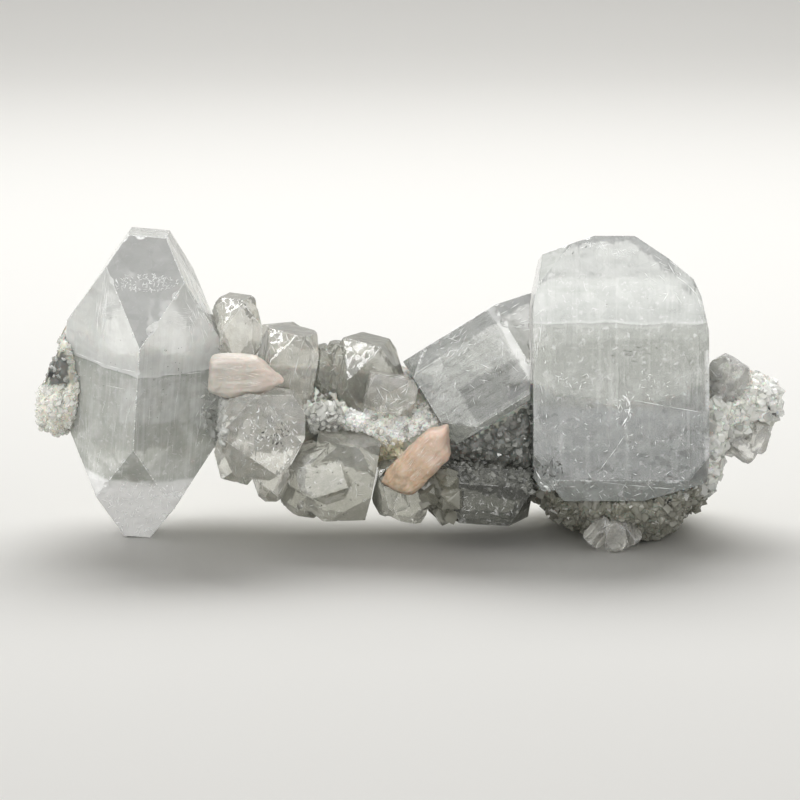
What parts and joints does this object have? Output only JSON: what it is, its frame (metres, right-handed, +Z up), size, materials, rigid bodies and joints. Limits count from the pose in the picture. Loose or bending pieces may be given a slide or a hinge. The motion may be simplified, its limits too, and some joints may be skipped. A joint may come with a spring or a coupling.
{
  "type": "apophyllite specimen",
  "caption": "Natural cluster of clear apophyllite crystals and peach stilbite blades grown along a chalcedony stalactite, resting on its foot.",
  "frame": {"origin": "on the ground under the middle of the whole specimen", "axes": "+X along the stalactite to its broken right end, -Y to the display side, +Z up"},
  "size_m": [0.1002, 0.0326, 0.0423],
  "materials": {
    "clear_apophyllite": "clear to milky crystal, glassy faces",
    "grey_apophyllite": "grey translucent crystal, glassy faces",
    "stilbite": "pearly",
    "chalcedony": "waxy botryoidal"
  },
  "bodies": {
    "root": {"block_crystal": "clear_apophyllite", "double_pointed_crystal": "clear_apophyllite", "stilbite_blade_right": "stilbite", "stilbite_blade_left": "stilbite", "tilted_crystal": "clear_apophyllite", "front_middle_crystals": "clear_apophyllite", "small_upper_crystal": "clear_apophyllite", "upper_middle_crystal": "clear_apophyllite", "ridge_crystals": "grey_apophyllite", "lower_middle_crystals": "grey_apophyllite", "lower_grey_crystal": "grey_apophyllite", "lower_centre_crystals": "grey_apophyllite", "centre_crystal": "clear_apophyllite", "ridge_chip_crystal": "clear_apophyllite", "right_upper_crystal": "clear_apophyllite", "right_lower_crystals": "clear_apophyllite", "hanging_crystals": "clear_apophyllite", "back_crystals_left": "clear_apophyllite", "back_crystals_right": "clear_apophyllite", "chalcedony_stalactite": "chalcedony"}
  },
  "joints": []
}
